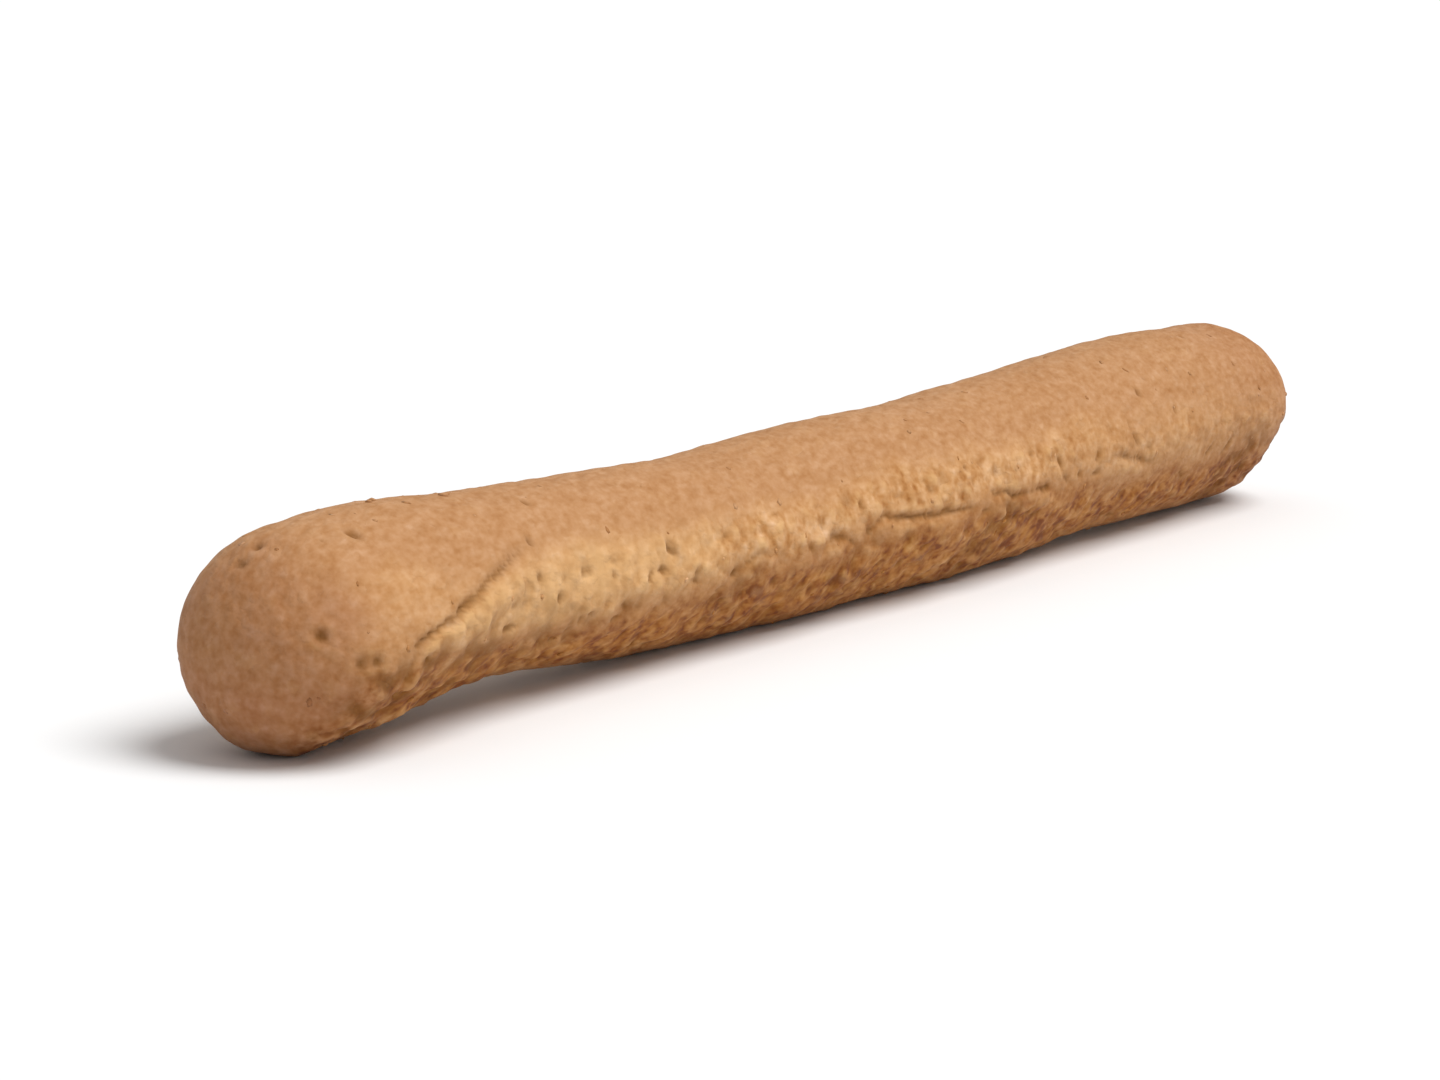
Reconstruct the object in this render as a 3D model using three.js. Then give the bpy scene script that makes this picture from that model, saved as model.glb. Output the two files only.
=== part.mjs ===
// Rusk stick: a finger of wholemeal dough, rolled by hand, baked on a tray and then dried
// right through until it is hard. It is one piece: a round stick with two domed ends, a
// thick knob at one end, a waist behind it, and one side flattened by the tray.
//
// Millimetres. +X runs along the stick from the knob to the even end, +Z is up, and the
// origin is under the middle of the bounding box, on the surface that the stick lies on.

import * as THREE from "three";

// Driving dimensions.
const LENGTH = 155; // tip to tip
const GIRTH = 14.4; // mean thickness of the stick

// Thickness along the stick, as shares of GIRTH, at shares of LENGTH.
const KNOB = { at: 0.05, thick: 1.047 };
const WAIST = { at: 0.203, thick: 0.917 };
const BELLY = { at: 0.59, thick: 1.03 };
const EVEN_END = { at: 0.93, thick: 1.075 };

// Domed ends: length of each dome as a share of GIRTH, and the exponent of its outline,
// where 2 is an ellipse and more is blunter.
const KNOB_DOME = { length: 0.52, blunt: 1.93 };
const EVEN_DOME = { length: 0.63, blunt: 2.12 };

// The dried stick is a little bent: it sags between two crests, and its knob hangs.
const SAG = 0.087 * GIRTH;
const SAG_CREST = 0.08; // share of LENGTH where the first crest lies
const SAG_PERIOD = 0.8; // share of LENGTH from crest to crest
const KNOB_DROOP = 0.05 * GIRTH;
const DROOP_REACH = 0.135; // share of LENGTH over which the knob hangs
const SWAY = 0.03 * GIRTH; // sideways wander of the middle line
const SLOPE = 0.02 * GIRTH; // rise from tip to tip as it lies on its knob and belly

// The side that lay on the tray: the direction it faces at the two tips, in degrees above
// the front horizontal, because the stick twisted a little as it dried, and how far in from
// the round it is, as a share of the radius.
const TRAY_ANGLE = { knob: -54, evenEnd: -30 };
const TRAY_INSET = 0.92;
const HEEL_SHARPNESS = 9; // how tightly the flat turns into the round

// Unevenness left by rolling: each wave has a height in mm, a wavelength along the stick
// in mm, the number of lobes round the stick, and a phase in radians.
const ROLLING_WAVES = [
  { height: 0.15, wavelength: 46, lobes: 1, phase: 2.1 },
  { height: 0.08, wavelength: 29, lobes: 2, phase: 1.1 },
  { height: 0.04, wavelength: 17, lobes: 3, phase: 3.9 },
];

const REST_FLAT_DEPTH = 0.55; // depth of the flat spots that the stick rests on

// Mesh resolution.
const SEGMENTS = 56; // round the stick
const BODY_RINGS = 58; // between the domes
const DOME_RINGS = 8; // in each dome

const smoothstep = (from, to, value) => THREE.MathUtils.smoothstep(value, from, to);
const radians = THREE.MathUtils.degToRad;

// Half thickness at a share t of the length, before the ends are domed.
function bodyRadius(t) {
  const intoWaist = smoothstep(KNOB.at, WAIST.at, t);
  const intoBelly = smoothstep(WAIST.at, BELLY.at, t);
  const intoEnd = smoothstep(BELLY.at, EVEN_END.at, t);
  const thick =
    KNOB.thick +
    (WAIST.thick - KNOB.thick) * intoWaist +
    (BELLY.thick - WAIST.thick) * intoBelly +
    (EVEN_END.thick - BELLY.thick) * intoEnd;
  return (GIRTH / 2) * thick;
}

// How far a dome has opened at a distance from its tip: 0 at the tip, 1 where it ends.
function domeOpening(distance, dome) {
  const depth = Math.min(1, distance / (dome.length * GIRTH));
  return (1 - (1 - depth) ** dome.blunt) ** (1 / dome.blunt);
}

function roundness(x) {
  return domeOpening(x, KNOB_DOME) * domeOpening(LENGTH - x, EVEN_DOME);
}

// Share of the round radius that is left at an angle and at a share t of the length, where
// the tray flattened the dough.
function traySection(angle, t) {
  const trayAngle = THREE.MathUtils.lerp(TRAY_ANGLE.knob, TRAY_ANGLE.evenEnd, t);
  const facing = Math.cos(angle - radians(trayAngle));
  if (facing <= 0) return 1;
  const flat = TRAY_INSET / facing;
  return (1 + flat ** -HEEL_SHARPNESS) ** (-1 / HEEL_SHARPNESS);
}

function rollingLumps(x, angle) {
  return ROLLING_WAVES.reduce((sum, wave) => {
    const along = (2 * Math.PI * x) / wave.wavelength + wave.phase;
    return sum + wave.height * Math.sin(along + wave.lobes * angle);
  }, 0);
}

function middleLine(t) {
  const crest = Math.cos((2 * Math.PI * (t - SAG_CREST)) / SAG_PERIOD);
  const droop = KNOB_DROOP * (1 - smoothstep(0, DROOP_REACH, t));
  return {
    y: SWAY * Math.sin(Math.PI * (1.6 * t + 0.15)),
    z: (SAG / 2) * crest - droop + SLOPE * (t - 0.5),
  };
}

// A point of the crust: x from the knob's tip, and the angle round the stick, which is 0
// at the front (-Y) and grows upwards.
function crustPoint(x, angle) {
  const t = x / LENGTH;
  const middle = middleLine(t);
  const thickness = bodyRadius(t) * traySection(angle, t) + rollingLumps(x, angle);
  const radius = thickness * roundness(x);
  return new THREE.Vector3(
    x,
    middle.y - radius * Math.cos(angle),
    middle.z + radius * Math.sin(angle),
  );
}

// Distances of the rings from the knob's tip, closer together towards each tip.
function ringStations() {
  const knobDome = KNOB_DOME.length * GIRTH;
  const evenDome = EVEN_DOME.length * GIRTH;
  const stations = [];
  for (let i = 0; i < DOME_RINGS; i++) {
    stations.push(knobDome * (1 - Math.cos((Math.PI / 2) * (i / DOME_RINGS))));
  }
  for (let i = 0; i < BODY_RINGS; i++) {
    stations.push(knobDome + (LENGTH - knobDome - evenDome) * (i / BODY_RINGS));
  }
  for (let i = 0; i <= DOME_RINGS; i++) {
    stations.push(LENGTH - evenDome * (1 - Math.sin((Math.PI / 2) * (i / DOME_RINGS))));
  }
  return stations;
}

// A plain lathed stick gives the grid, and every point of it is then moved to the crust.
function stickGeometry() {
  const profile = ringStations().map((x) => new THREE.Vector2(roundness(x) * (GIRTH / 2), x));
  const geometry = new THREE.LatheGeometry(profile, SEGMENTS);
  const position = geometry.getAttribute("position");
  const lathed = new THREE.Vector3();
  for (let i = 0; i < position.count; i++) {
    lathed.fromBufferAttribute(position, i);
    const crust = crustPoint(lathed.y, Math.atan2(-lathed.x, lathed.z));
    position.setXYZ(i, crust.x, crust.y, crust.z);
  }
  return geometry;
}

// Presses the lowest points up to one level, so that the stick has flats to rest on, and
// then puts the origin under the middle of the box.
function restOnFlats(geometry) {
  geometry.computeBoundingBox();
  const level = geometry.boundingBox.min.z + REST_FLAT_DEPTH;
  const position = geometry.getAttribute("position");
  for (let i = 0; i < position.count; i++) {
    position.setZ(i, Math.max(level, position.getZ(i)));
  }
  geometry.computeBoundingBox();
  const middle = geometry.boundingBox.getCenter(new THREE.Vector3());
  geometry.translate(-middle.x, -middle.y, -level);
  geometry.computeVertexNormals();
}

function makeRuskStick() {
  const geometry = stickGeometry();
  restOnFlats(geometry);
  const crust = new THREE.MeshStandardMaterial({
    color: new THREE.Color("#c18f63"),
    roughness: 0.78,
    metalness: 0,
  });
  const stick = new THREE.Mesh(geometry, crust);
  stick.name = "rusk_stick";
  return stick;
}

const rusk = new THREE.Group();
rusk.name = "rusk";
rusk.add(makeRuskStick());

export default rusk;
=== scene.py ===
# %% [markdown]
# # A rusk stick
# A rusk stick is a finger of wholemeal dough. It is rolled under the palms, baked on a tray,
# and then dried right through until it snaps. What the eye reads as "rusk" is only its crust:
# matt, tan, finely grained, browner at the two ends, smooth where the air baked it, and
# wrinkled and torn along the side that stuck to the tray.
#
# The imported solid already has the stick's size and bends, so it is the frame here. The
# lesson pulls a fine skin over it, works the crust into that skin as a maker would with a
# few tools, scatters bran and crumbs, and mixes one material that follows all of it.

# %% Load the frame
import math
import random

import bmesh
import bpy
from mathutils import Matrix, Vector, noise
from mathutils.bvhtree import BVHTree
from mathutils.kdtree import KDTree


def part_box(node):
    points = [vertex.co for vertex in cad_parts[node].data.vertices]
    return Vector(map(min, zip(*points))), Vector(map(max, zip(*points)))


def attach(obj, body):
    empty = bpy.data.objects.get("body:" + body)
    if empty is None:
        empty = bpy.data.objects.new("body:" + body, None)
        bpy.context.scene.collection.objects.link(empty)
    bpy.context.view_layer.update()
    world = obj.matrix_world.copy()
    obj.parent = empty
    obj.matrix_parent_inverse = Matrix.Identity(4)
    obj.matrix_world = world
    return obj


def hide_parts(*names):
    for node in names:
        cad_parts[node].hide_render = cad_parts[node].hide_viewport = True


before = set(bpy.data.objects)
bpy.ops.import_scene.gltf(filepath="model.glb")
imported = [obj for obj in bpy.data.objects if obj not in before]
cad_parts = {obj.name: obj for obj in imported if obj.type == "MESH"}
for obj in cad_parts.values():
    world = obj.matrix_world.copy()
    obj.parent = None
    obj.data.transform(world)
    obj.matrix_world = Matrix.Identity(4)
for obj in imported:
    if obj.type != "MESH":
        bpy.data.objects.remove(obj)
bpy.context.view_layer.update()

MM = 0.001
low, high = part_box("rusk_stick")
middle = (low + high) / 2
LENGTH = high.x - low.x
print(f"the stick is {LENGTH / MM:.1f} mm long and {(high.z - low.z) / MM:.1f} mm high")

# %% [markdown]
# ## The camera
# The stick is seen from its knob, a little from above, with the length running away to the
# right. A long lens from a little over two stick lengths keeps the far end large enough to
# study. The camera is set first, because every later choice of detail depends on how close
# it stands.

# %% Camera
LENS = 124.0  # millimetres, on a sensor 36 mm wide
DISTANCE = 2.30 * LENGTH
BEARING = math.radians(28.7)  # between the line of sight and the stick
LOOKING_DOWN = math.radians(9.35)
TILT = math.radians(2.4)  # the camera leans a little to its left
AIM_SHIFT = 0.103 * LENGTH  # from the middle towards the knob, which looks larger
AIM_DROP = 1 * MM  # below the middle, to leave room for the shadow
aim = Vector((middle.x - AIM_SHIFT, middle.y, middle.z - AIM_DROP))

sight = Vector((
    math.cos(BEARING) * math.cos(LOOKING_DOWN),
    math.sin(BEARING) * math.cos(LOOKING_DOWN),
    -math.sin(LOOKING_DOWN),
))
camera_data = bpy.data.cameras.new("studio_camera")
camera_data.lens = LENS
camera_data.sensor_width = 36.0
camera_data.clip_start = 0.01  # metres
camera_data.clip_end = 50.0
camera = bpy.data.objects.new("studio_camera", camera_data)
bpy.context.scene.collection.objects.link(camera)
turn = sight.to_track_quat("-Z", "Y").to_matrix() @ Matrix.Rotation(TILT, 3, "Z")
camera.matrix_world = Matrix.Translation(aim - sight * DISTANCE) @ turn.to_4x4()
bpy.context.scene.camera = camera
print(f"the camera stands {DISTANCE / MM:.0f} mm from the stick")

# %% [markdown]
# ## A ball pulled apart
# The skin needs small, square, even faces everywhere, so that a crease or a pore looks the
# same wherever it falls. A lathed shape would crowd its faces at the two tips. A cube,
# divided and blown up into a ball, has no such poles. The ball is then split round its
# waist, its halves are pulled apart, and a sleeve of new faces bridges the gap: a capsule
# with even faces from tip to tip.

# %% Ball
CUBE_FACES = 40  # along one side of the cube, so the sleeve has four times as many

skin = bmesh.new()
bmesh.ops.create_cube(skin, size=2.0)
bmesh.ops.subdivide_edges(skin, edges=skin.edges[:], cuts=CUBE_FACES - 1, use_grid_fill=True)
for vert in skin.verts:
    spread = Vector([math.tan(share * math.pi / 4) for share in vert.co])
    vert.co = spread.normalized()
print(f"a ball of {len(skin.faces)} faces")

# %% Sleeve
BALL_RADIUS = 7.4 * MM
reach = LENGTH / 2 - BALL_RADIUS  # from the middle of the stick to the middle of a ball
CELL = 2 * math.pi * BALL_RADIUS / (4 * CUBE_FACES)
sleeve_rows = round(2 * reach / CELL)

waist = [edge for edge in skin.edges if all(abs(vert.co.x) < 1e-5 for vert in edge.verts)]
bmesh.ops.split_edges(skin, edges=waist)
bmesh.ops.scale(skin, vec=(BALL_RADIUS,) * 3, verts=skin.verts[:])
for side in (-1, 1):
    half = {
        vert
        for face in skin.faces
        if face.calc_center_median().x * side > 0
        for vert in face.verts
    }
    bmesh.ops.translate(skin, vec=(side * reach, 0, 0), verts=list(half))
rims = [edge for edge in skin.edges if edge.is_boundary]
bmesh.ops.bridge_loops(skin, edges=rims)
long_edges = [edge for edge in skin.edges if edge.calc_length() > reach]
bmesh.ops.subdivide_edges(skin, edges=long_edges, cuts=sleeve_rows - 1)
bmesh.ops.recalc_face_normals(skin, faces=skin.faces[:])
open_edges = sum(1 for edge in skin.edges if not edge.is_manifold)
print(f"a capsule of {len(skin.faces)} faces, {CELL / MM:.2f} mm wide, {open_edges} open edges")

# %% [markdown]
# ## Shrinking the skin on to the stick
# The capsule has to become the real stick, with its knob, waist, bend and flattened side.
# Nothing is measured again: from a core inside the stick, each point of the skin goes
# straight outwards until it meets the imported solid. A few rounds of smoothing then melt the
# solid's flat facets, which are larger than the skin's faces.

# %% Shrink
solid_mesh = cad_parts["rusk_stick"].data
solid_tree = BVHTree.FromPolygons(
    [vert.co for vert in solid_mesh.vertices],
    [list(face.vertices) for face in solid_mesh.polygons],
)
SMOOTHING_ROUNDS = 14

missed = 0
for vert in skin.verts:
    core = Vector((max(-reach, min(reach, vert.co.x)), 0, 0))
    outwards = (vert.co - core).normalized()
    inside = Vector((middle.x + core.x, middle.y, middle.z))
    hit = solid_tree.ray_cast(inside, outwards)[0]
    if hit is None:
        missed += 1
        hit = solid_tree.find_nearest(inside + outwards * BALL_RADIUS)[0]
    vert.co = hit
for _ in range(SMOOTHING_ROUNDS):
    bmesh.ops.smooth_vert(
        skin, verts=skin.verts[:], factor=0.5, use_axis_x=True, use_axis_y=True, use_axis_z=True
    )
skin.normal_update()
print(f"{missed} points missed the solid; the skin now has the stick's shape")

# %% [markdown]
# ## Where things are on a stick
# A baker would say "a thumb's width from the knob, a little below the front". So every place
# is given as millimetres along from the knob's tip and degrees round, where 0 faces the
# front, 90 is the top and -90 faces the table. One small class keeps both for every point of
# the skin, with the height that the tools add before all heights are applied at once.


# %% Stick coordinates
def round_angle(point):
    """Degrees round the stick: 0 at the front, 90 on top."""
    return math.degrees(math.atan2(point.z - middle.z, middle.y - point.y))


def turned_between(angle, from_angle):
    """The shortest turn between two angles, in degrees, from 0 to 180."""
    return abs((angle - from_angle + 180) % 360 - 180)


def rise(value, start, end):
    """0 below start, 1 above end, and a smooth climb between them."""
    share = max(0.0, min(1.0, (value - start) / (end - start)))
    return share * share * (3 - 2 * share)


def grain(point, size, seed=0.0):
    """Smooth chance between about -1 and 1, in lumps of a size in millimetres."""
    return noise.noise(point / (size * MM) + Vector((seed, seed * 1.7, -seed)))


# The layers that the material will read are made first, because a new layer moves the
# bmesh's points in memory.
layers = {
    name: skin.verts.layers.float.new(name)
    for name in ("tray_side", "heel", "browned_end", "rough", "valley", "crest")
}


class SkinPoint:
    """One point of the skin: its place, its outward direction and how far it is to move."""

    def __init__(self, vert):
        self.vert = vert
        self.place = vert.co.copy()
        self.outwards = vert.normal.copy()
        self.along = (vert.co.x - low.x) / MM
        self.round = round_angle(vert.co)
        self.height = 0.0  # millimetres to move outwards
        self.stain = 0.0  # painted shade in grooves and pits, and burnt specks, from 0 to 1
        self.rubbed = 0.0  # painted highlight that a mark lays on it, from 0 to 1


skin.verts.index_update()
points = [SkinPoint(vert) for vert in skin.verts]
neighbours = [[edge.other_vert(vert).index for edge in vert.link_edges] for vert in skin.verts]
finder = KDTree(len(points))
for number, point in enumerate(points):
    finder.insert(point.place, number)
finder.balance()
skin_tree = BVHTree.FromBMesh(skin)
TIP_DEPTH = 1.5 * MM  # nearer to a tip, a spoke could miss the skin


def on_skin(along, angle):
    """The place on the skin at millimetres along and degrees round."""
    turn = math.radians(angle)
    spoke = Vector((0, -math.cos(turn), math.sin(turn)))
    x = low.x + along * MM
    hub = Vector((x, middle.y, middle.z))
    if low.x + TIP_DEPTH <= x <= high.x - TIP_DEPTH:
        return skin_tree.ray_cast(hub, spoke)[0]
    return skin_tree.find_nearest(hub + spoke * BALL_RADIUS)[0]


print(f"{len(points)} points, from {min(p.along for p in points):.2f} mm along")

# %% [markdown]
# ## The side that lay on the tray
# The tray side reaches from below the front down and under the stick, and it turns a little
# from the knob to the even end, because the stick twisted as it dried. Its front edge
# wanders: it dips behind the knob, where the waist was lifted off the tray, and the tip of
# the knob was off the tray too. One number for each point says how many degrees it lies
# beyond the edge, and a soft mask is made from it, which the relief and the material share.

# %% Tray side
TRAY_AT_KNOB = -54  # degrees round that the tray side faces
TRAY_AT_EVEN_END = -30
HALF_WIDTH = 39  # degrees from its middle to its edge, on the back
WANDER = 8  # degrees that the edges wander by chance
FRONT_EDGE = [(0, -20), (14, -15), (28, -25), (45, -24), (60, -13), (78, -7), (104, -10),
              (124, -16), (142, -20), (155, -20)]  # millimetres along, degrees round
TRAY_FADES = (-22, 14)  # degrees beyond the edge


def front_edge(along):
    """The degrees round of the tray side's front edge."""
    for (start, low_turn), (end, high_turn) in zip(FRONT_EDGE, FRONT_EDGE[1:]):
        if along < end:
            return low_turn + (high_turn - low_turn) * rise(along, start, end)
    return FRONT_EDGE[-1][1]


for point in points:
    share = point.along * MM / LENGTH
    tray_angle = TRAY_AT_KNOB + (TRAY_AT_EVEN_END - TRAY_AT_KNOB) * share
    beyond = turned_between(point.round, tray_angle) - HALF_WIDTH
    if (point.round - tray_angle) % 360 < 180:
        beyond += tray_angle + HALF_WIDTH - front_edge(point.along)
    beyond += WANDER * (grain(point.place, 9, 3) + 0.8 * grain(point.place, 3, 8))
    point.beyond = beyond
    point.tray = (1 - rise(beyond, *TRAY_FADES)) * rise(point.along, 2, 6.5)
print(f"{sum(p.tray for p in points) / len(points):.0%} of the crust lay on the tray")

# %% [markdown]
# ## Heels
# Beside the tray side runs a heel, a band where steam and the tray's heat puckered the skin
# and left it pale and golden. It is wide behind the knob and narrower further along. Just
# behind the knob a crease crosses it, leaning away from the knob, and in front of the crease
# the skin stayed smoother.

# %% Heels
HEEL_STARTS = (-8, 14)  # degrees beyond the tray side's edge
HEEL_WIDTH = 36  # degrees beyond the edge where it begins to fade, behind the knob
NARROWER = 16  # degrees less than that, further along
HEEL_FADES_OVER = 28  # degrees
CREASE_LEAN = 0.37  # millimetres along for each degree round
CREASE_FOOT = -6  # degrees round where the crease starts to lean

for point in points:
    lean = CREASE_LEAN * max(0, point.round - CREASE_FOOT)
    point.behind_crease = rise(point.along - lean, 9, 12.5)
    in_reach = rise(point.along, 2, 12) * (1 - rise(point.along, 144, 153))
    widest = HEEL_WIDTH - NARROWER * rise(point.along, 40, 65)
    inner_side = rise(point.beyond, *HEEL_STARTS)
    point.heel = inner_side * (1 - rise(point.beyond, widest, widest + HEEL_FADES_OVER)) * in_reach
    point.heel *= 1 - 0.25 * rise(point.along, 95, 120)
print(f"{sum(p.heel > 0.5 for p in points) / len(points):.0%} of the crust is heel")

# %% [markdown]
# ## Browned ends, and how rough the crust is
# The tips bake from all sides, so they are the brownest. Where they face down they are darker
# still, over a longer reach, and that extra darkness is painted shade. The even end is a
# little paler at its tip, but browned over a longer stretch. Tray side, heels and ends
# together say how rough the crust is. Only after that is the heel weakened a little in front
# of the crease, and the tip of the even end made a little like the tray side.

# %% Browned ends and roughness
for point in points:
    to_tip = min(point.along, LENGTH / MM - point.along) + 1.5 * grain(point.place, 4, 5)
    at_even_end = rise(point.along, 100, 130)
    # painted shade: where an end faces down it is darker and darkened further in
    underneath = rise(-point.outwards.z, -0.1, 0.6)
    browned = 0.64 + 0.32 * underneath - 0.12 * at_even_end
    point.end = browned * (1 - rise(to_tip, 1.5, 7 + 6 * underneath))
    point.end += 0.32 * at_even_end * (1 - rise(to_tip, 8, 26))
    puckered = 0.95 - 0.2 * rise(point.along, 45, 110)
    puckered *= 0.25 + 0.75 * point.behind_crease
    point.rough = max(0.88 * point.tray, puckered * point.heel, 0.4 * point.end, 0.2)
    point.heel *= 0.7 + 0.3 * point.behind_crease
    point.tray = max(point.tray, 0.3 * rise(point.along, 139, 153))
print(f"the crust is {sum(p.rough for p in points) / len(points):.2f} rough on average")

# %% [markdown]
# ## Lumps, pimples, leather and pits
# Four kinds of unevenness make the crust. Rolling leaves soft lumps, from a few millimetres
# to a finger wide. Bran and small gas cells push up pimples a millimetre wide, everywhere.
# Where the tray held the dough, drying shrank the skin into leather: round swellings with
# narrow creases between them. Where steam broke through, ragged pits are left. All of it is
# smooth chance read at the point's own place, so it has no seam and no repeat. Smooth chance
# without its sign makes the leather, because it is round everywhere except where it would
# have changed its sign.
#
# The dough was rolled out under the palms, a little askew, and that drew its patterns out.
# So they are read at the place that a point had before the rolling. Only the grit of the
# tray side and the heels stays round, because baking made it afterwards.


# %% Relief of the crust
ROLLED = 0.45  # what is one millimetre long now was this long before it was rolled out
ROLLING = Vector((0.90, 0.40, -0.17)).normalized()  # lengthways, and a little askew


def before_rolling(place):
    """A place with its distance in the rolling direction shortened again."""
    return place - (1 - ROLLED) * place.dot(ROLLING) * ROLLING


def leather(place, size, seed):
    """Round swellings about as wide as a size in millimetres, and narrow creases between."""
    return abs(grain(place, size, seed)) + 0.4 * abs(grain(place, size * 0.52, seed + 1))


for point in points:
    rolled = before_rolling(point.place)
    push = Vector([grain(rolled, 2.8, seed) for seed in (11, 12, 13)])
    bent = rolled + push * 0.5 * MM
    patch = rise(grain(rolled, 6, 25), -0.35, 0.3)
    puckered = max(point.heel, point.tray)
    grit = grain(rolled, 1.15, 6) * (1 - puckered) + grain(point.place, 1.4, 6) * puckered
    # From here on, the factors are heights in millimetres, from the widest lumps to the pits.
    lumps = 0.22 * point.rough ** 1.5 * (1 - 0.3 * point.tray)
    lumps *= 1 + 0.5 * rise(point.along, 100, 120)
    height = 0.02 * grain(rolled, 11, 1) + lumps * grain(rolled, 4.0, 2)
    height += (0.20 + 0.08 * point.tray) * point.rough * grain(rolled, 2.1, 4)
    height += (0.01 + 0.22 * point.rough) * grit
    height += (0.02 + 0.08 * point.rough) * grain(rolled, 0.75, 7)
    height += (0.01 + 0.04 * patch) * leather(bent, 3.0, 21) * point.rough
    pit = rise(grain(bent, 1.0, 23), 0.25, 0.5) * (0.3 + 0.7 * patch) * point.rough
    point.height = height - (0.13 - 0.05 * point.heel) * pit
rolled_heights = [point.height for point in points]
print(f"the relief goes from {min(rolled_heights):.2f} to {max(rolled_heights):.2f} mm so far")

# %% [markdown]
# ## Tools that mark the crust
# Pores, slits, creases and cracks are all one gesture: a blunt tool drawn along a short path
# and pressed in, which can push up a lip beside it. The tool also paints shade into its
# groove, and with a share below zero it paints a highlight instead. A round pit is a path of
# one point, and a fold is a groove with a depth below zero. So one function makes them all,
# and their differences are numbers. A second tool pushes a blister up from below, and a third
# scorches the crust, which leaves sunken burnt specks.


# %% Groove tool
STEPS = 12  # from one point of a path to the next


def drawn_out(path):
    """A path of (along, round) points with the steps between them."""
    steps = [path[0]]
    for start, end in zip(path, path[1:]):
        for step in range(1, STEPS + 1):
            steps.append([a + (b - a) * step / STEPS for a, b in zip(start, end)])
    return steps


def press(path, width, depth, lip=0.0, stain=0.0, shaken=0.4):
    """Presses a groove along (along, round) points.

    Width, depth, lip and shaken, the sideways wander, are in millimetres. The darkening share
    paints shade into the groove, and a share below zero paints a highlight on it.
    """
    steps = drawn_out(path)
    nearest = {}
    for number, (along, angle) in enumerate(steps):
        centre = on_skin(along, angle)
        shake = Vector([grain(centre, 2.0, seed) for seed in (31, 32, 33)])
        centre = centre + shaken * MM * shake
        strength = math.sin(math.pi * (number + 0.5) / len(steps)) ** 0.5
        strength *= 0.95 + 0.3 * grain(centre, 2.2, 35)
        for _, index, distance in finder.find_range(centre, 2.5 * width * MM):
            if index not in nearest or distance < nearest[index][0]:
                nearest[index] = (distance, strength)
    for index, (distance, strength) in nearest.items():
        point = points[index]
        ragged = 1 + 0.75 * shaken * grain(point.place, 1.8 * width, 37)
        away = distance / (width * MM * ragged)
        groove = math.exp(-((away / 0.6) ** 2)) * strength
        ridge = math.exp(-(((away - 1.2) / 0.5) ** 2)) * strength
        point.height += lip * ridge - depth * groove
        # painted shade in the groove, or a painted highlight where the share is below zero
        point.stain = max(point.stain, stain * groove)
        point.rubbed = max(point.rubbed, -stain * groove)


print(f"the groove tool takes {STEPS} steps from point to point")


# %% Blister and scorching tools
def blister(along, angle, radius, height):
    """Pushes up a round swelling with a narrow moat. Radius and height are in millimetres."""
    centre = on_skin(along, angle)
    for _, index, distance in finder.find_range(centre, 1.8 * radius * MM):
        point = points[index]
        away = distance / (radius * MM) * (1 + 0.3 * grain(point.place, 1.5, 39))
        point.height += height * (1 - rise(away, 0.25, 1.0))
        point.height -= 0.45 * height * math.exp(-(((away - 1.1) / 0.22) ** 2))


SPECK_DEPTH = 0.14  # millimetres


def scorch(along, angle, radius, share):
    """Freckles the crust with sunken burnt specks, out to a radius in millimetres."""
    centre = on_skin(along, angle)
    for _, index, distance in finder.find_range(centre, radius * MM):
        point = points[index]
        speck = rise(grain(before_rolling(point.place), 1.2, 43), -0.3, 0.15)
        speck *= 1 - rise(distance / (radius * MM), 0.4, 1.0)
        point.stain = max(point.stain, share * speck)
        point.height -= SPECK_DEPTH * speck


print(f"a scorched speck is {SPECK_DEPTH} mm deep")

# %% [markdown]
# ## The marks of this stick
# Every rolled stick has a few marks that tell it from the next. On this one the knob was
# pushed against the waist, which left a crease and folded a lip up behind it, made paler with a
# painted highlight. Below the crease the waist stands out in a soft swelling, with a painted
# highlight too. The tray scorched its side in patches, and cracks opened along the edge of
# that side, each with a fold under it.

# %% Crease, fold and swelling
# the crease and its lean: grooves with painted shade in them
press([(10, -6), (12.5, 0), (16, 4), (17, 10)], 0.42, 0.42, stain=0.7, shaken=0.15)
press([(14, 2), (17, 9), (20.5, 20), (26, 36)], 0.7, 0.34, stain=0.45, shaken=0.15)
# the lip behind the crease and the swelling below it: raised, each with a painted highlight
press([(12.5, -9), (17, -3), (20, 6), (23, 15), (27, 24)], width=2.0, depth=-0.2, stain=-0.9)
press([(20, -6), (27, 5), (36, 9), (52, 8)], width=5.0, depth=-0.08, stain=-1.0)
print(f"the crease has stained {sum(p.stain > 0.1 for p in points)} points")

# %% Scorched patches
scorched = [
    (8, -40, 5, 1.0), (12, -30, 4.5, 1.0), (20, -42, 5, 0.8), (30, -38, 5, 0.6),
    (54, -30, 4, 0.4), (72, -36, 5, 0.4), (94, -36, 6, 0.7), (142, -38, 6, 0.8),
    (149, -34, 5, 0.8),
]  # along, round, radius and share
for along, angle, radius, share in scorched:
    scorch(along, angle, radius, share)
print(f"{len(scorched)} scorched patches")

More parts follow.
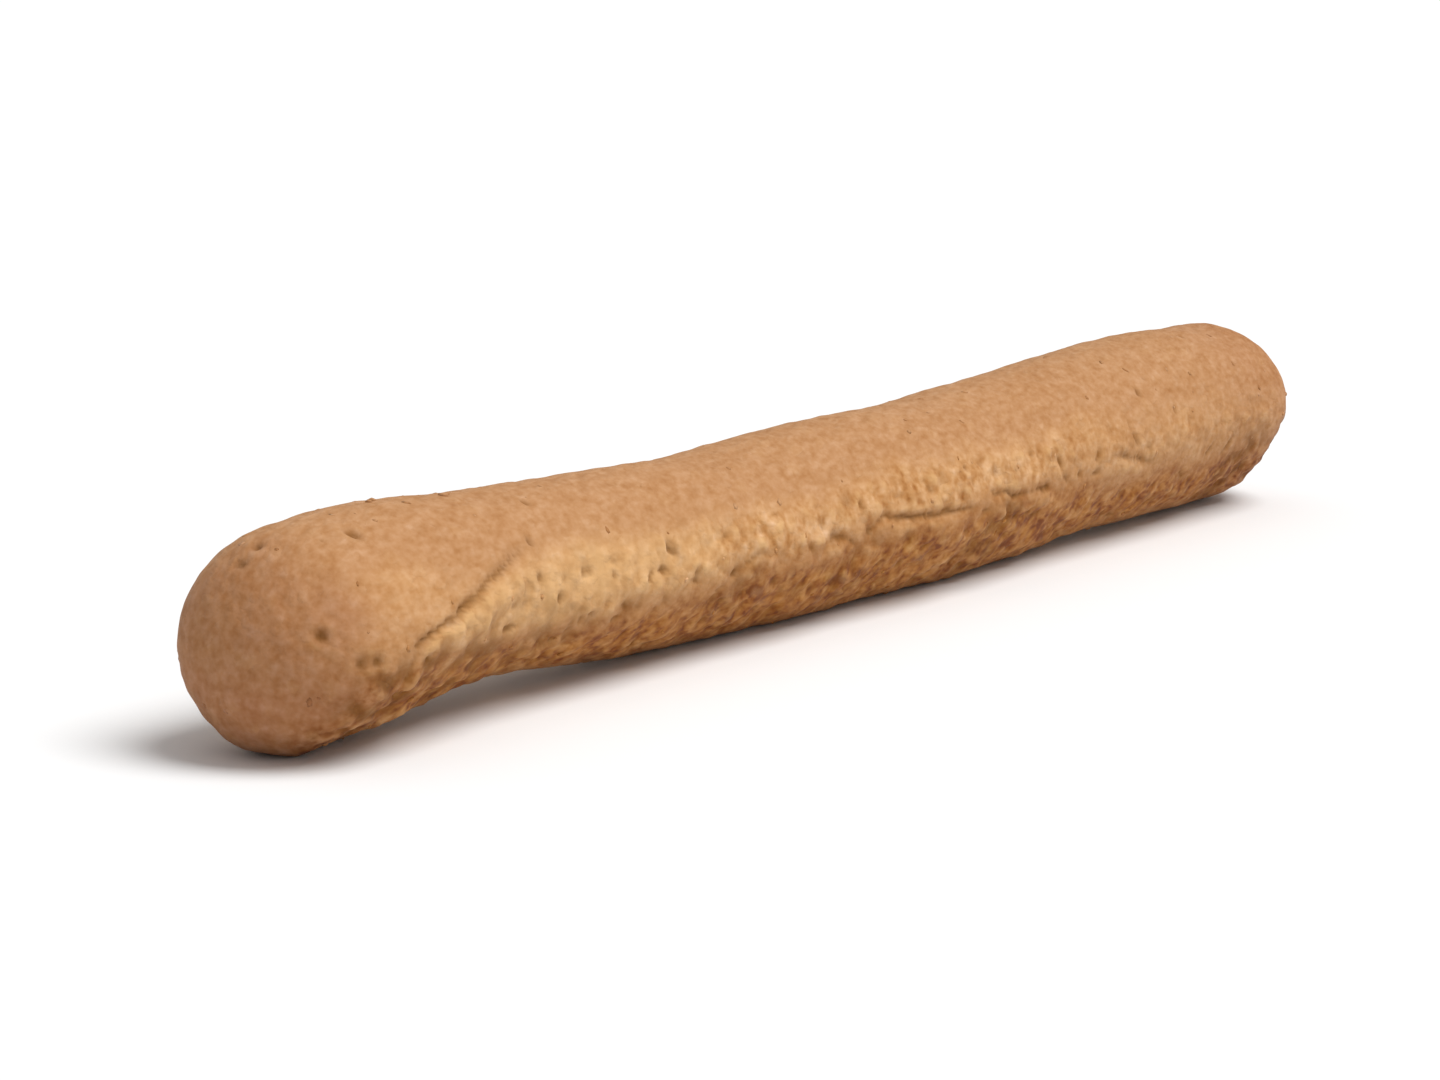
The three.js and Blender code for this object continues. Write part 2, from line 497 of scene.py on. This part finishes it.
# %% Cracks
cracks = [
    ([(52, -18), (56, -5), (58.5, -4)], 0.5, 0.2),
    ([(61, -7), (65.5, -12), (69, -7)], 0.55, 0.25),
    ([(71.5, -9), (74.5, -2), (77, -4), (80, -5), (85, -7), (89, -10)], 0.5, 0.4),
    ([(90.5, 0), (95, -5), (99.5, -7), (105, -10)], 0.45, 0.34),
    ([(112, 3), (117, -2), (122, -8)], 0.5, 0.22),
]
FOLD_BELOW = 9  # degrees from a crack to the fold under it
for crack, width, depth in cracks:
    # painted shade in each crack
    press(crack, width, depth, stain=0.75)
    press([(along, angle - FOLD_BELOW) for along, angle in crack], width=1.2, depth=-0.14)
print(f"{len(cracks)} cracks, each with a fold under it")

# %% Pits and hollows
pits = [
    (4.5, -7, 0.8), (6, -9, 0.75), (2.5, 10, 0.7), (9.5, 70, 0.85), (4.5, 101, 0.6),
    (3, 107, 0.6), (12, -13, 0.45), (26.5, 13, 0.6), (29, 0, 0.7), (36, 5, 0.5),
    (27, 37, 0.6), (30.5, 69, 0.5), (47, -7, 0.6), (53, -15, 0.6), (71, 9, 0.6),
    (87.5, 18, 0.4), (99, 15, 0.5), (107, -5, 0.55), (120, 37, 0.5), (127.5, 40, 0.55),
    (125, 20, 0.45), (140, 15, 0.5),
]  # along, round and width
# painted shade in each pit
for along, angle, width in pits:
    press([(along, angle)], width, depth=width * 0.45, lip=0.04, stain=1.0)
hollows = [
    (4.5, -37, 1.2), (10, -38, 0.9), (30, -34, 1.5), (38.5, -20, 0.9), (54, -21, 1.0),
    (51.5, -34, 1.2), (67.5, -7, 0.8), (72.5, -8, 0.8), (78.5, -17, 0.9), (90, -46, 1.3),
    (64, -40, 1.2), (13, -28, 1.0), (17, -33, 1.2), (22, -38, 1.1), (34, -24, 0.8),
]
# painted shade in each hollow
for along, angle, width in hollows:
    press([(along - width, angle + 3), (along + width, angle - 4)], width, 0.18, stain=0.55)
print(f"{len(pits)} pits and {len(hollows)} hollows")

# %% Upright wrinkles and blisters
upright = [
    [(43.5, 22), (44, 14), (45, 6)],
    [(110.5, 10), (110, 1)],
    [(133, -3), (132.5, -15)],
    [(137, -5), (136, -17)],
]
# painted shade in each wrinkle
for wrinkle in upright:
    press(wrinkle, width=0.5, depth=0.25, lip=0.03, stain=0.7)
blisters = [
    (82, 16, 0.9, 0.12), (87, 8, 1.1, 0.14), (23.5, 11, 0.9, 0.10), (36, 6, 1.1, 0.11),
    (42.5, 17, 0.9, 0.12), (101, 14, 1.0, 0.12), (60.5, 3, 1.0, 0.12), (49.5, 20, 1.0, 0.12),
]  # along, round, radius and height
for along, angle, radius, height in blisters:
    blister(along, angle, radius, height)
print(f"{len(upright)} upright wrinkles and {len(blisters)} blisters")

# %% [markdown]
# ## Marks all over
# The rest is chance: pores everywhere, gaps crowded round the front edge of the tray side and
# towards the knob, cracks along the heel on the far side, and blisters on the lower half.
# Pores, gaps and cracks get painted shade in them.
# Chance has a fixed start, so the stick comes out the same every time.

# %% Pores and gaps
chance = random.Random(43)
PORES = 44
GAPS = 36
# painted shade in every pore and gap
for _ in range(PORES):
    along = chance.uniform(1, LENGTH / MM - 1)
    angle = chance.uniform(-180, 180)
    size = chance.uniform(0.28, 0.42)
    end = (along + chance.uniform(-0.9, 0.9), angle + chance.uniform(-7, 7))
    depth = size * chance.uniform(0.25, 0.5)
    press([(along, angle), end], width=size, depth=depth, stain=chance.uniform(0.1, 0.4))
for _ in range(GAPS):
    along = chance.triangular(8, 145, 20)
    angle = front_edge(along) + chance.triangular(-24, 36, -4)
    end = (along + chance.uniform(0.6, 2.2), angle - chance.uniform(-4, 12))
    depth = chance.uniform(0.12, 0.28)
    press([(along, angle), end], chance.uniform(0.35, 0.6), depth, stain=chance.uniform(0.3, 0.75))
print(f"{PORES} pores and {GAPS} gaps")

# %% Cracks on the far side, and blisters
BACK_CRACKS = 12
BLISTERS = 26
# painted shade in each crack on the far side
for _ in range(BACK_CRACKS):
    along = chance.uniform(10, 138)
    twist = (TRAY_AT_EVEN_END - TRAY_AT_KNOB) * along * MM / LENGTH
    angle = chance.uniform(-128, -92) + twist
    middle_point = (along + chance.uniform(2, 4), angle + chance.uniform(-5, 5))
    end = (along + chance.uniform(5, 8), angle + chance.uniform(-7, 7))
    press([(along, angle), middle_point, end], width=0.5, depth=0.3, stain=0.7)
for _ in range(BLISTERS):
    along = chance.uniform(8, 148)
    angle = chance.uniform(-150, 20)
    blister(along, angle, chance.uniform(0.7, 1.4), chance.uniform(0.06, 0.12))
print(f"{BACK_CRACKS} cracks along the other heel and {BLISTERS} more blisters")

# %% [markdown]
# ## Valleys and crests
# The crests of the crust are painted paler, a painted highlight, and its valleys darker,
# painted shade. The material can't measure heights, so they are compared here. Averaging each
# point's height with its neighbours' again and again gives the ground level round it, and the
# difference says how far below or above that level the point is.


# %% Valleys and crests
def ground_level(heights, rounds):
    """The heights after each has been averaged with its neighbours', again and again."""
    for _ in range(rounds):
        heights = [
            (heights[number] + sum(heights[other] for other in near)) / (1 + len(near))
            for number, near in enumerate(neighbours)
        ]
    return heights


ground = ground_level([point.height for point in points], rounds=9)
for point, level in zip(points, ground):
    # painted shade: darker below the ground level round a point and in the marks, with burnt
    # specks
    point.valley = max(rise(level - point.height, 0.03, 0.16), point.stain)
    # painted highlight: paler above the ground level round a point and where a mark lays one
    point.crest = max(rise(point.height - level, 0.02, 0.12), point.rubbed)
print(f"{sum(p.valley > 0.5 for p in points) / len(points):.1%} of the skin lies in valleys")

# %% [markdown]
# ## Applying the marks
# All heights are applied in one move along the outward directions. The stick still has to
# lie flat where it touches the table, so nothing may end below the floor. The whole skin
# also sinks a little, by less than a tenth of a millimetre, so that its swellings hardly
# pass the solid's box.

# %% Apply
SINK = 0.06 * MM

deepest = min(point.height for point in points)
highest = max(point.height for point in points)
for point in points:
    moved = point.place + point.outwards * (point.height * MM - SINK)
    moved.z = max(low.z, moved.z)
    point.vert.co = moved
    point.vert[layers["tray_side"]] = point.tray
    point.vert[layers["heel"]] = point.heel
    point.vert[layers["browned_end"]] = point.end
    point.vert[layers["rough"]] = point.rough
    point.vert[layers["valley"]] = point.valley
    point.vert[layers["crest"]] = point.crest
for face in skin.faces:
    face.smooth = True
skin.normal_update()
crust_tree = BVHTree.FromBMesh(skin)


def finished_piece(name, shape):
    """Turns a bmesh into an object at the origin, rides it on the stick and frees the bmesh."""
    mesh = bpy.data.meshes.new(name)
    shape.to_mesh(mesh)
    shape.free()
    piece = bpy.data.objects.new(name, mesh)
    bpy.context.scene.collection.objects.link(piece)
    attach(piece, "root")
    return piece


rusk_crust = finished_piece("rusk_crust", skin)
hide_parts("rusk_stick")
print(f"relief from {deepest:.2f} to {highest:.2f} mm")
print(f"{len(rusk_crust.data.polygons) * 2} triangles")

# %% [markdown]
# ## Bran and crumbs
# Flat flakes of bran lie in the crust, and a few crumbs stuck to it on the tray. They are
# smaller than a millimetre, but they catch light and break the outline, which no pattern on
# a smooth skin can do. One ball of 20 faces is copied for all of them. Each copy is jittered,
# squashed, turned to lie on the crust and sunk into it, and joined to its kind. It also keeps
# how the crust below it was baked, and a tone of its own.

# %% Chips
BAKING = ("tone", "tray_side", "heel", "browned_end")

ball = bmesh.new()
bmesh.ops.create_icosphere(ball, subdivisions=1, radius=1.0)
for name in BAKING:
    ball.verts.layers.float.new(name)
ball_corners = [vert.co.copy() for vert in ball.verts]
chip_pattern = bpy.data.meshes.new("chip_pattern")
ball.to_mesh(chip_pattern)
ball.free()


class Scatter:
    """Many small chips joined in one bmesh, with layers that say how each was baked."""

    def __init__(self, seed):
        self.chance = random.Random(seed)
        self.shape = bmesh.new()

    def add(self, place, size, flatness, sunk):
        """Adds a chip. Size is half its length in millimetres, sunk a share of its height."""
        chance = self.chance
        spot, outwards, _, _ = crust_tree.find_nearest(place)
        height = size * flatness
        scale = Matrix.Diagonal((size * MM, size * chance.uniform(0.5, 1.0) * MM, height * MM, 1))
        turn = Matrix.Rotation(chance.uniform(0, 2 * math.pi), 4, "Z")
        lie = outwards.to_track_quat("Z", "Y").to_matrix().to_4x4()
        lift = Matrix.Translation(spot + outwards * height * (1 - 2 * sunk) * MM)
        settle = lift @ lie @ turn @ scale
        moved = []
        for corner in ball_corners:
            reached = settle @ (corner * chance.uniform(0.75, 1.15))
            moved += (reached.x, reached.y, max(low.z, reached.z))
        chip_pattern.vertices.foreach_set("co", moved)
        below = points[finder.find(spot)[1]]
        baked = (chance.random(), below.tray, below.heel, below.end)
        for name, value in zip(BAKING, baked):
            values = [value] * len(ball_corners)
            chip_pattern.attributes[name].data.foreach_set("value", values)
        self.shape.from_mesh(chip_pattern)

    def finished(self, name):
        """The finished piece, with all the chips."""
        for face in self.shape.faces:
            face.smooth = True
        print(f"{name} has {len(self.shape.faces)} triangles")
        return finished_piece(name, self.shape)


# %% Bran flakes
FLAKES = 160
flakes = Scatter(seed=7)
for _ in range(FLAKES):
    point = flakes.chance.choice(points)
    flakes.add(point.place, flakes.chance.uniform(0.16, 0.4), flatness=0.2, sunk=0.68)
bran_flakes = flakes.finished("bran_flakes")

# %% Stuck crumbs
CRUMBS = 40
CRUMBS_ON_TOP = [(17, 99, 0.36), (16.2, 97, 0.3), (24, 91, 0.4), (24.8, 93, 0.28)]
crumbs = Scatter(seed=19)
for along, angle, size in CRUMBS_ON_TOP:
    crumbs.add(on_skin(along, angle), size, flatness=0.55, sunk=0.4)
for _ in range(CRUMBS):
    along = crumbs.chance.uniform(3, LENGTH / MM - 3)
    angle = crumbs.chance.gauss(-45, 38)
    crumbs.add(on_skin(along, angle), crumbs.chance.uniform(0.12, 0.34), flatness=0.6, sunk=0.5)
stuck_crumbs = crumbs.finished("stuck_crumbs")

# %% [markdown]
# ## A material written as sums
# A procedural finish is a lot of small arithmetic: this much brown where the ends baked
# harder, minus that much where flour stuck. In the node editor that is a wall of boxes. Here
# a socket is wrapped in a small class that understands +, - and *, so the recipe reads like
# a recipe, and each operation still becomes an ordinary Math node.


# %% Wire and Finish
class Wire:
    """A number that varies over a surface, and that can be added, subtracted and multiplied."""

    def __init__(self, finish, socket):
        self.finish = finish
        self.socket = socket

    def __add__(self, other):
        return self.finish.reckon("ADD", self, other)

    __radd__ = __add__

    def __sub__(self, other):
        return self.finish.reckon("SUBTRACT", self, other)

    def __rsub__(self, other):
        return self.finish.reckon("SUBTRACT", other, self)

    def __mul__(self, other):
        return self.finish.reckon("MULTIPLY", self, other)

    __rmul__ = __mul__

    def beside(self, output):
        """Another output of the node that this value comes from."""
        return Wire(self.finish, self.socket.node.outputs[output])


class Finish:
    """A material being mixed: its node tree, and one way to add a node of any kind to it."""

    def __init__(self, name):
        self.material = bpy.data.materials.new(name)
        self.material.use_nodes = True
        self.material.node_tree.nodes.clear()

    def node(self, kind, settings=None, sockets=None, output=0):
        """Adds a node, applies its settings first, fills or links its sockets, returns a Wire."""
        made = self.material.node_tree.nodes.new("ShaderNode" + kind)
        for name, value in (settings or {}).items():
            setattr(made, name, value)
        for name, value in (sockets or {}).items():
            if isinstance(value, Wire):
                self.material.node_tree.links.new(value.socket, made.inputs[name])
            else:
                made.inputs[name].default_value = value
        return Wire(self, made.outputs[output]) if made.outputs else None

    def reckon(self, operation, first, second):
        """One step of arithmetic on two numbers or Wires."""
        return self.node("Math", {"operation": operation}, {0: first, 1: second})

    def rise(self, value, start, end):
        """0 below start and 1 above end, as for the relief."""
        settings = {"interpolation_type": "SMOOTHSTEP", "clamp": True}
        sockets = {"Value": value, "From Min": start, "From Max": end}
        return self.node("MapRange", settings, sockets)

    def blend(self, share, under, over, way="MIX"):
        """Lays one colour over another, by a share from 0 to 1."""
        settings = {"data_type": "RGBA", "blend_type": way, "clamp_factor": True}
        return self.node("Mix", settings, {0: share, 6: under, 7: over}, output=2)

    def attribute(self, name):
        """A number that the piece keeps at each of its points."""
        return self.node("Attribute", {"attribute_name": name}, output=2)

    def grain(self, place, size, detail=3.0, roughness=0.55, twist=0.0):
        """Smooth chance from 0 to 1, in lumps of a size in millimetres."""
        sockets = {
            "Vector": place,
            "Scale": 1 / (size * MM),
            "Detail": detail,
            "Roughness": roughness,
            "Distortion": twist,
        }
        return self.node("TexNoise", None, sockets)


print("ready to mix a finish")

# %% [markdown]
# ## The colour of dry wholemeal crust
# Look at a rusk closely and it isn't one brown. The air-baked top is an even tan, clouded
# very softly. The heels beside the tray side are paler and yellower, the tray side darker and
# redder, and the tips are the brownest. Part of the tray side's strong red is painted warm
# light, bounced up from below, and part of the ends' brown where they face down is painted
# shade. Whatever is part of the crust was baked with it, so this mixture is a function, and
# bran and crumbs will use it too.
#
# Toast doesn't darken evenly. Its red falls least and its blue most, so a dark speck is also
# a redder one. A second function changes any of these colours by a share of its green, with
# the other two following as powers of it. It stops at a floor, because no crust is black.


# %% Baked colour
TAN = (0.433, 0.219, 0.095, 1)
GOLD = (0.568, 0.308, 0.130, 1)
# partly painted light: this red also stands in for warm light bounced up from below
RUSSET = (0.405, 0.164, 0.034, 1)
TIP_BROWN = (0.355, 0.156, 0.072, 1)
# dark grains and burnt specks, and painted shade in valleys and marks
VALLEY_BROWN = (0.155, 0.055, 0.004, 1)
# pale grains, and painted highlight on crests, the lip and the swelling
RUBBED = (0.630, 0.375, 0.165, 1)


def baked_colour(finish, mottle):
    """The crust's colour from its baking, with some painted shade and painted warm light in it."""
    heel = finish.attribute("heel")
    tray_side = finish.attribute("tray_side")
    browned_end = finish.attribute("browned_end")
    uneven = mottle - 0.5
    baked = finish.blend(heel * (0.65 + 0.9 * uneven), TAN, GOLD)
    baked = finish.blend(tray_side * (0.9 + 1.1 * uneven), baked, RUSSET)
    return finish.blend(browned_end * (0.9 + 0.8 * uneven), baked, TIP_BROWN)


DARKEST = 0.33  # share of the green that is always left
RED_POWER = 0.6
BLUE_POWER = 1.8


def toasted(finish, colour, change):
    """A colour baked paler by a positive change or darker by a negative one."""
    green = finish.reckon("MAXIMUM", 1 + change, DARKEST)
    red = finish.reckon("POWER", green, RED_POWER)
    blue = finish.reckon("POWER", green, BLUE_POWER)
    tint = finish.node("CombineColor", None, {"Red": red, "Green": green, "Blue": blue})
    return finish.blend(1.0, colour, tint, way="MULTIPLY")


print(f"the darkest toasting leaves {DARKEST ** BLUE_POWER:.2f} of the blue")

# %% [markdown]
# ## Patterns in the crust
# The material reads the same places and masks as the relief, so that colour and relief
# agree. Its patterns are drawn out by the same rolling, apart from the meal of the tray side
# and the heels, which stays round. Each is smooth chance of its own size: clouds, mottle,
# the scorching of the tray side, meal, and dust.

# %% Patterns
crust = Finish("dry_wholemeal_crust")
spot = crust.node("TexCoord", output="Object")
along_rolling = crust.node(
    "VectorMath", {"operation": "DOT_PRODUCT"}, {0: spot, 1: ROLLING}, output=1
)
shortened = {0: along_rolling, 1: (ROLLED - 1) * ROLLING, 2: spot}
place = crust.node("VectorMath", {"operation": "MULTIPLY_ADD"}, shortened)
rough = crust.attribute("rough")
valley = crust.attribute("valley")
crest = crust.attribute("crest")
tray_side = crust.attribute("tray_side")
heel = crust.attribute("heel")
cloud = crust.grain(place, 7, detail=2)
mottle = crust.grain(place, 2.6, detail=3, roughness=0.6)
puckered = crust.reckon("MAXIMUM", heel, tray_side)
rolled_meal = crust.grain(place, 0.9, detail=1.5, roughness=0.55)
puckered_meal = crust.grain(spot, 1.0, detail=1.5, roughness=0.55)
meal = rolled_meal * (1 - puckered) + puckered_meal * puckered
dust = crust.grain(place, 0.4, detail=1, roughness=0.5)
scorching = crust.grain(place, 1.7, detail=3, roughness=0.62)
print(f"the patterns take {len(crust.material.node_tree.nodes)} nodes")

# %% Speckled colour
colour = baked_colour(crust, mottle)
mottling = 0.75 * rough + 0.3 * heel - 0.1
speckle = mottling * (mottle - 0.5) + (0.4 + 1.3 * rough + 1.1 * tray_side) * (meal - 0.5)
speckle = speckle + (0.5 + 0.5 * tray_side) * (dust - 0.5)
speckle = speckle + (0.1 + 0.8 * tray_side) * (cloud - 0.5)
blotches = crust.rise(scorching, 0.46, 0.64) * tray_side
colour = toasted(crust, colour, speckle - 0.52 * blotches)
print(f"with the speckled colour there are {len(crust.material.node_tree.nodes)} nodes")

# %% [markdown]
# ## Granules
# Wholemeal flour is full of pieces of bran, and each baked in its own way. Under a lens the
# crust is a mosaic: granules under a millimetre wide with gaps between them, some paler and
# proud, some darker and sunken, most like the rest. A Voronoi pattern is such a mosaic. Its
# distance gives each granule a rounded top, and its random colour gives each a chance of its
# own. A little smooth noise on its coordinates makes the granules ragged. The gaps between
# the granules are darkened with painted shade.


# %% Granules
def granules(size):
    """The rounded tops of granules of a size in millimetres, and a chance for each of them."""
    scale = 1 / (size * MM)
    push = crust.node("TexNoise", None, {"Vector": place, "Scale": 1.8 * scale}, output=1)
    pushed_by = (0.6 * size * MM,) * 3
    sockets = {0: push, 1: pushed_by, 2: place}
    ragged = crust.node("VectorMath", {"operation": "MULTIPLY_ADD"}, sockets)
    cells = crust.node("TexVoronoi", None, {"Vector": ragged, "Scale": scale})
    chance = crust.node("SeparateColor", None, {0: cells.beside(1)})
    return 1 - crust.rise(cells, 0.15, 0.7), chance


COARSE_GRANULE = 1.15  # millimetres
FINE_GRANULE = 0.6
coarse_top, coarse_chance = granules(COARSE_GRANULE)
fine_top, fine_chance = granules(FINE_GRANULE)
print(f"granules of {COARSE_GRANULE} and {FINE_GRANULE} mm")

# %% Granules in the colour
pale = coarse_top * crust.rise(coarse_chance, 0.66, 0.9)
dark = coarse_top * (1 - crust.rise(coarse_chance, 0.12, 0.3))
colour = crust.blend(pale * (0.02 + 0.25 * rough), colour, RUBBED)
colour = crust.blend(dark * 0.28 * rough, colour, VALLEY_BROWN)
fine_speckle = (0.14 + 0.1 * rough) * (fine_chance - 0.5) * fine_top
# painted shade in the gaps between granules, strongest on the tray side
gaps = (1 - coarse_top) * (0.02 + 0.10 * rough + 0.12 * tray_side)
colour = toasted(crust, colour, fine_speckle - gaps)
# painted highlight on crests, weaker on the tray side
worn = (0.15 + 0.55 * rough) * (1 - 0.6 * tray_side)
colour = crust.blend(crest * worn, colour, RUBBED)
# painted shade in valleys and marks, with burnt specks
colour = crust.blend(valley * 0.65, colour, VALLEY_BROWN)
print("granules, worn crests and dark valleys are in the colour")

# %% [markdown]
# ## The surface of the crust
# Dry crust is matt: rough, with hardly any gloss, and a trace of sheen from its dust. The
# finest relief is left to two bumps, coarse and then fine, from the granules and the meal
# that are also in the colour, so that a granule's light and its colour belong together.

# %% Surface of the crust
COARSE_HEIGHT = 0.12 * MM
FINE_HEIGHT = 0.045 * MM
bumpy = (0.2 + 0.35 * rough) * (1 - 0.45 * tray_side)
coarse_relief = bumpy * (coarse_top * (0.3 + coarse_chance) + meal)
coarse_bump = crust.node("Bump", None, {"Distance": COARSE_HEIGHT, "Height": coarse_relief})
fine_relief = (0.45 + 0.3 * rough) * (fine_top * (0.3 + fine_chance) + dust)
fine_sockets = {"Distance": FINE_HEIGHT, "Height": fine_relief, "Normal": coarse_bump}
bump = crust.node("Bump", None, fine_sockets)
roughness = 0.70 + 0.25 * (meal - 0.5) + 0.15 * valley
shell = crust.node(
    "BsdfPrincipled",
    None,
    {
        "Base Color": colour,
        "Roughness": roughness,
        "Normal": bump,
        "Specular IOR Level": 0.11,
        "Sheen Weight": 0.03,
        "Sheen Roughness": 0.5,
    },
)
crust.node("OutputMaterial", None, {"Surface": shell})
rusk_crust.data.materials.append(crust.material)
print(f"the crust's finish has {len(crust.material.node_tree.nodes)} nodes")

# %% [markdown]
# ## The finish of bran and crumbs
# A flake of bran is a little darker or a little paler than the crust it sits in, never black
# or white, because it was baked with it. Each chip carries one number, its tone, and the
# finish shades the baked colour by that number.


# %% Chip finish
def chip_finish(name, darkest, palest):
    """A matt finish, toasted from darkest to palest by the tone of each chip."""
    finish = Finish(name)
    spot = finish.node("TexCoord", output="Object")
    speckle = finish.grain(spot, 0.3, detail=2)
    tone = darkest + (palest - darkest) * finish.attribute("tone") + 0.3 * (speckle - 0.5)
    chip_colour = toasted(finish, baked_colour(finish, finish.grain(spot, 2.6)), tone)
    rough = 0.7 + 0.2 * (speckle - 0.5)
    sockets = {"Base Color": chip_colour, "Roughness": rough, "Specular IOR Level": 0.22}
    finish.node("OutputMaterial", None, {"Surface": finish.node("BsdfPrincipled", None, sockets)})
    return finish.material


bran_flakes.data.materials.append(chip_finish("bran", darkest=-0.4, palest=0.2))
stuck_crumbs.data.materials.append(chip_finish("baked_crumb", darkest=-0.2, palest=0.25))
print("bran and crumbs have their finishes")

# %% [markdown]
# ## The studio
# A plain pale floor, a sun as wide as a soft box, and a white world. The world looks whiter
# than it lights, so that the sun can model the relief. The floor takes only a soft shadow,
# and the crust's own browns are what the eye sees.

# %% Floor
FLOOR_HALF_SIZE = 12.0  # metres
floor_shape = bmesh.new()
bmesh.ops.create_grid(floor_shape, x_segments=1, y_segments=1, size=FLOOR_HALF_SIZE)
floor_mesh = bpy.data.meshes.new("studio_floor")
floor_shape.to_mesh(floor_mesh)
floor_shape.free()
floor = bpy.data.objects.new("studio_floor", floor_mesh)
bpy.context.scene.collection.objects.link(floor)
paper = Finish("white_paper")
PAPER = (0.80, 0.80, 0.80, 1)
paper_shell = paper.node("BsdfPrincipled", None, {"Base Color": PAPER, "Roughness": 0.9})
paper.node("OutputMaterial", None, {"Surface": paper_shell})
floor.data.materials.append(paper.material)
print(f"a floor {2 * FLOOR_HALF_SIZE:.0f} m wide")

# %% Lights
SUN_FROM = Vector((0.15, -0.42, 0.89))
SEEN_WHITE = 1.0  # how bright the world looks to the camera
LIGHTING_WHITE = 0.5  # how brightly it lights the stick
SUN_STRENGTH = 2.9
SUN_WIDTH = math.radians(40)  # a wide sun casts soft shadows
sun_data = bpy.data.lights.new("soft_box", "SUN")
sun_data.energy = SUN_STRENGTH
sun_data.angle = SUN_WIDTH
sun = bpy.data.objects.new("soft_box", sun_data)
sun.rotation_euler = SUN_FROM.to_track_quat("Z", "Y").to_euler()
bpy.context.scene.collection.objects.link(sun)

world = bpy.data.worlds.new("white_studio")
bpy.context.scene.world = world
world.use_nodes = True
tree = world.node_tree
background = tree.nodes["Background"]
seen = tree.nodes.new("ShaderNodeLightPath")
level = tree.nodes.new("ShaderNodeMapRange")
level.inputs["To Min"].default_value = LIGHTING_WHITE
level.inputs["To Max"].default_value = SEEN_WHITE
tree.links.new(seen.outputs["Is Camera Ray"], level.inputs["Value"])
tree.links.new(level.outputs[0], background.inputs["Strength"])
background.inputs["Color"].default_value = (1, 1, 1, 1)
bpy.context.scene.view_settings.view_transform = "Standard"
print("soft box and white world are in")
